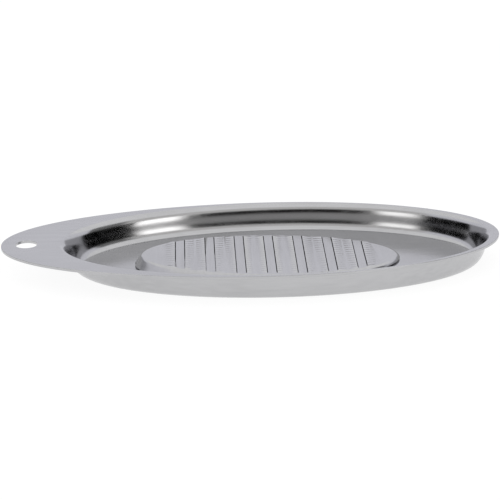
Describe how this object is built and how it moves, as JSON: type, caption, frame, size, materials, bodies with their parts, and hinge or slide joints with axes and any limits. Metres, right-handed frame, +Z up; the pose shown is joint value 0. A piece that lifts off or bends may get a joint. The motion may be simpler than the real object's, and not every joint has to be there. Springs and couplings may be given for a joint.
{
  "type": "oval grater dish",
  "caption": "Shallow oval pressed-steel dish with a hanging tab and a raised, gently sloping grating plate whose toothed rows face each other in pairs.",
  "frame": {"origin": "middle of the bounding box in plan, on the underside of the dish floor", "axes": "+X runs from the hanging tab to the round end, +Z is up out of the bowl, and +Y completes a right-handed frame"},
  "size_m": [0.16, 0.0692, 0.0091],
  "materials": {
    "dish_steel": "satin-polished stainless steel",
    "plate_steel": "satin stainless steel, stamped and pierced"
  },
  "bodies": {
    "root": {"dish": "dish_steel", "grating_plate": "plate_steel"}
  },
  "joints": []
}
